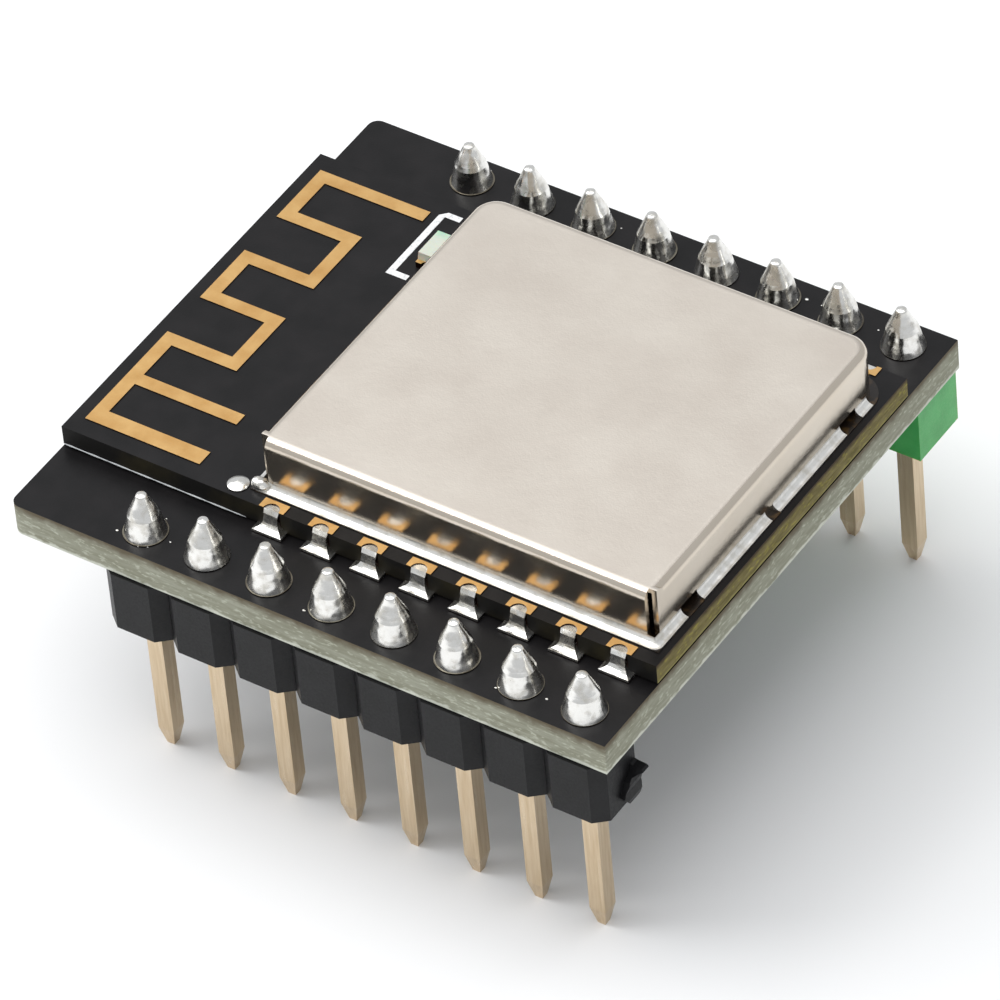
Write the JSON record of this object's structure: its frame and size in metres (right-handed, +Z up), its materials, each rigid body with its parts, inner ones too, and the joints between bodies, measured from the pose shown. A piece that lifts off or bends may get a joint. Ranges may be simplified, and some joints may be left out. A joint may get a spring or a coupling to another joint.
{
  "type": "wireless circuit module on a pin header carrier board",
  "caption": "Small radio board with a zigzag antenna and a metal shield can, soldered by its half-hole edges to a black carrier board on two rows of square pins.",
  "frame": {"origin": "centre of the part's outline at the tips of the pins, which stand on the ground", "axes": "+Z up through the boards, +X along the pin rows away from the antenna, +Y from the row under the black strip to the row under the green strip"},
  "size_m": [0.0246, 0.0228, 0.0132],
  "materials": {
    "board_mask": "black solder mask on glass-fibre board, satin gloss, with pale glass-fibre cut edges",
    "gold": "gold-plated copper, bright",
    "solder": "bright solder",
    "can_metal": "tinned thin sheet, satin",
    "pin_gold": "pale gold plating on square wire",
    "black_nylon": "black moulded nylon, satin",
    "green_nylon": "green moulded nylon, satin",
    "white_laminate": "white laminate",
    "led_resin": "clear moulded resin, gloss",
    "epoxy": "black moulded epoxy",
    "tin": "tin plating, satin",
    "tan_ceramic": "tan ceramic with tinned ends",
    "dark_ceramic": "dark ceramic with tinned ends"
  },
  "bodies": {
    "root": {"carrier_board": "board_mask", "module_board": "board_mask", "antenna_trace": "gold", "shield_can": "can_metal", "can_ground_copper": "gold", "can_solder": "solder", "test_point_pad": "gold", "test_point_solder": "solder", "led_base": "white_laminate", "led_end_caps": "gold", "led_lens": "led_resin", "radio_chip": "epoxy", "memory_chip": "epoxy", "memory_legs": "tin", "crystal": "tin", "capacitors": "tan_ceramic", "resistors": "dark_ceramic", "coils": "dark_ceramic", "near_plated_holes": "gold", "near_lands": "gold", "near_edge_plating": "gold", "near_edge_solder": "solder", "near_strip": "black_nylon", "near_pin_solder": "solder", "far_plated_holes": "gold", "far_lands": "gold", "far_edge_plating": "gold", "far_edge_solder": "solder", "far_strip": "green_nylon", "far_pin_solder": "solder", "near_pin_1": "pin_gold", "near_pin_2": "pin_gold", "near_pin_3": "pin_gold", "near_pin_4": "pin_gold", "near_pin_5": "pin_gold", "near_pin_6": "pin_gold", "near_pin_7": "pin_gold", "near_pin_8": "pin_gold", "far_pin_1": "pin_gold", "far_pin_2": "pin_gold", "far_pin_3": "pin_gold", "far_pin_4": "pin_gold", "far_pin_5": "pin_gold", "far_pin_6": "pin_gold", "far_pin_7": "pin_gold", "far_pin_8": "pin_gold"}
  },
  "joints": []
}
